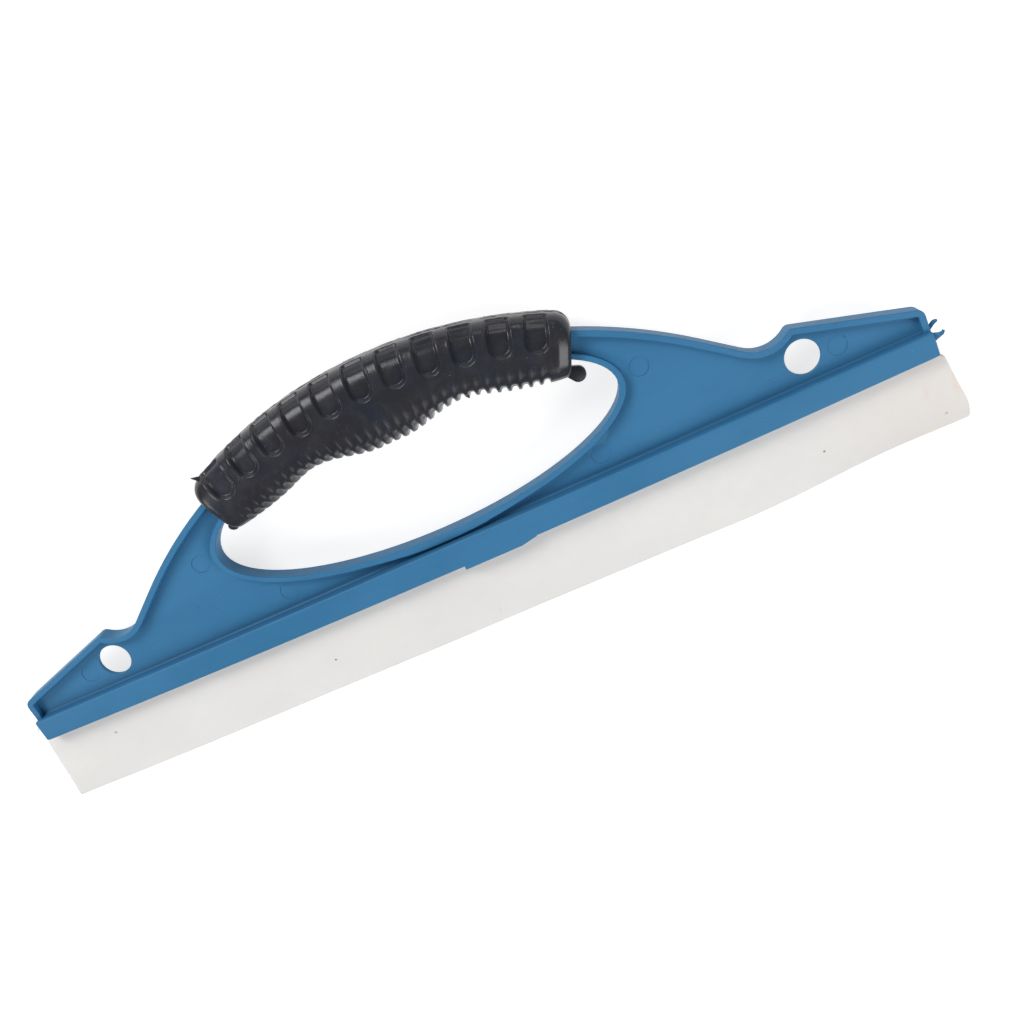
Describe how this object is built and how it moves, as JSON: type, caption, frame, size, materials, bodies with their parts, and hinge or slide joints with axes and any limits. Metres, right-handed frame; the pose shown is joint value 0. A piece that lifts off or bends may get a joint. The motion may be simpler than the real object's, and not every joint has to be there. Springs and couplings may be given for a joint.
{
  "type": "window squeegee",
  "caption": "Flat squeegee with an arched cushioned handle, an oval hand opening, hanging holes and a silicone blade that slides in a channel.",
  "frame": {"origin": "middle of the bounding box: halfway along the blade, halfway from the wiping edge to the top of the handle, on the plane through the middle of the thickness", "axes": "+X along the blade, +Y from the wiping edge towards the handle, +Z out of the front face, so the part lies flat as in use on a table"},
  "size_m": [0.3204, 0.0965, 0.02],
  "materials": {
    "frame_plastic": "satin moulded blue",
    "grip_rubber": "soft satin charcoal",
    "blade_silicone": "smooth milky white"
  },
  "bodies": {
    "frame_body": {"frame": "frame_plastic", "grip": "grip_rubber"},
    "blade_body": {"blade": "blade_silicone"}
  },
  "joints": [
    {"name": "blade_slide", "type": "slide", "parent": "frame_body", "child": "blade_body", "axis": [1, 0, 0], "range_m": [-0.31, 0.31]}
  ]
}
